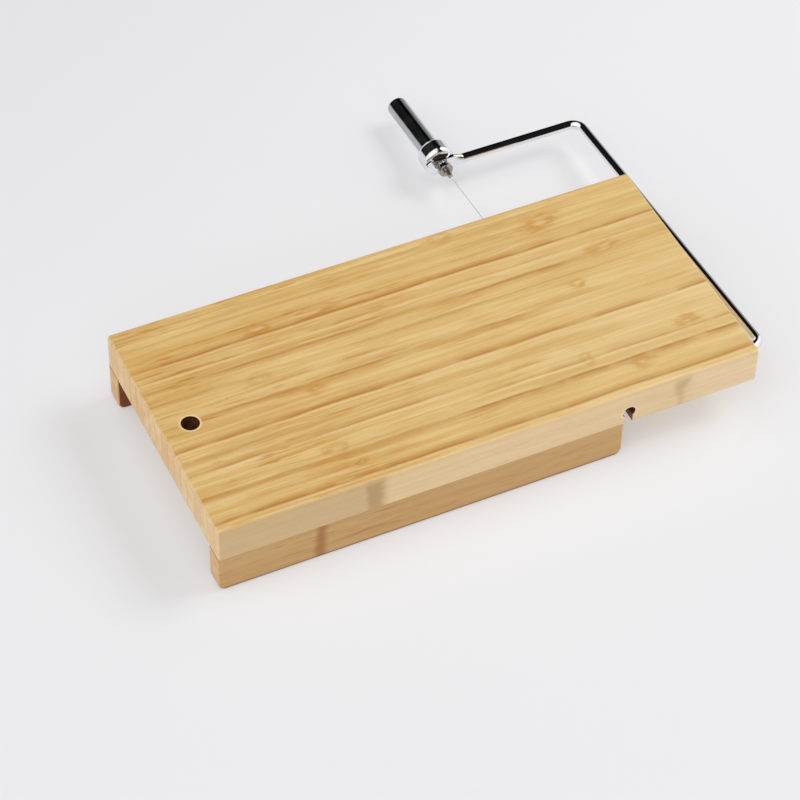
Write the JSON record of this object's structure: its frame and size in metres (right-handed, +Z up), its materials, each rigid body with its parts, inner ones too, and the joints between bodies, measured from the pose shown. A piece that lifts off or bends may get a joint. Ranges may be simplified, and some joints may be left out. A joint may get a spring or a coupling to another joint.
{
  "type": "cheese wire cutter",
  "caption": "Bamboo board on rails with a hinged, chromed rod bow that carries a taut cutting wire and a screw handle.",
  "frame": {"origin": "middle of the whole object's box, on the surface that its rails stand on", "axes": "+X along the board towards the end where the bow comes out, +Y from the pivot edge to the handle, +Z up from the rails to the board's plain face"},
  "size_m": [0.2612, 0.2312, 0.037],
  "materials": {
    "bamboo_board": "satin, oiled",
    "bamboo_rail": "satin, oiled",
    "chrome": "polished",
    "stud_steel": "turned, plated",
    "wire_steel": "drawn, bright"
  },
  "bodies": {
    "board": {"board_strip_01": "bamboo_board", "board_strip_02": "bamboo_board", "board_strip_03": "bamboo_board", "board_strip_04": "bamboo_board", "board_strip_05": "bamboo_board", "board_strip_06": "bamboo_board", "board_strip_07": "bamboo_board", "board_strip_08": "bamboo_board", "board_strip_09": "bamboo_board", "board_strip_10": "bamboo_board", "board_strip_11": "bamboo_board", "board_strip_12": "bamboo_board", "board_strip_13": "bamboo_board", "board_strip_14": "bamboo_board", "board_strip_15": "bamboo_board", "board_strip_16": "bamboo_board", "board_strip_17": "bamboo_board", "board_strip_18": "bamboo_board", "front_rail": "bamboo_rail", "back_rail": "bamboo_rail"},
    "bow": {"bow_rod": "chrome"},
    "handle": {"grip_collar": "chrome", "grip_tube": "chrome", "grip_end_cap": "chrome"},
    "tensioner": {"tension_stud": "stud_steel", "wire_ferrule": "stud_steel", "cutting_wire": "wire_steel", "anchor_bead": "wire_steel"}
  },
  "joints": [
    {"name": "bow_swing", "type": "hinge", "parent": "board", "child": "bow", "pos_m": [0.0574, -0.10359, 0.025], "axis": [1, 0, 0], "range_deg": [-176.1, 3.9]},
    {"name": "handle_spin", "type": "hinge", "parent": "bow", "child": "handle", "pos_m": [0.0574, -0.10359, 0.025], "axis": [0, 0.9977, -0.068], "range_deg": [0, 720]},
    {"name": "stud_travel", "type": "slide", "parent": "bow", "child": "tensioner", "axis": [0, -0.9977, 0.068], "range_m": [0, 0.0014]}
  ],
  "couplings": [
    {"joint": "stud_travel", "follows": "handle_spin", "m_per_rad": 0.00011141}
  ]
}
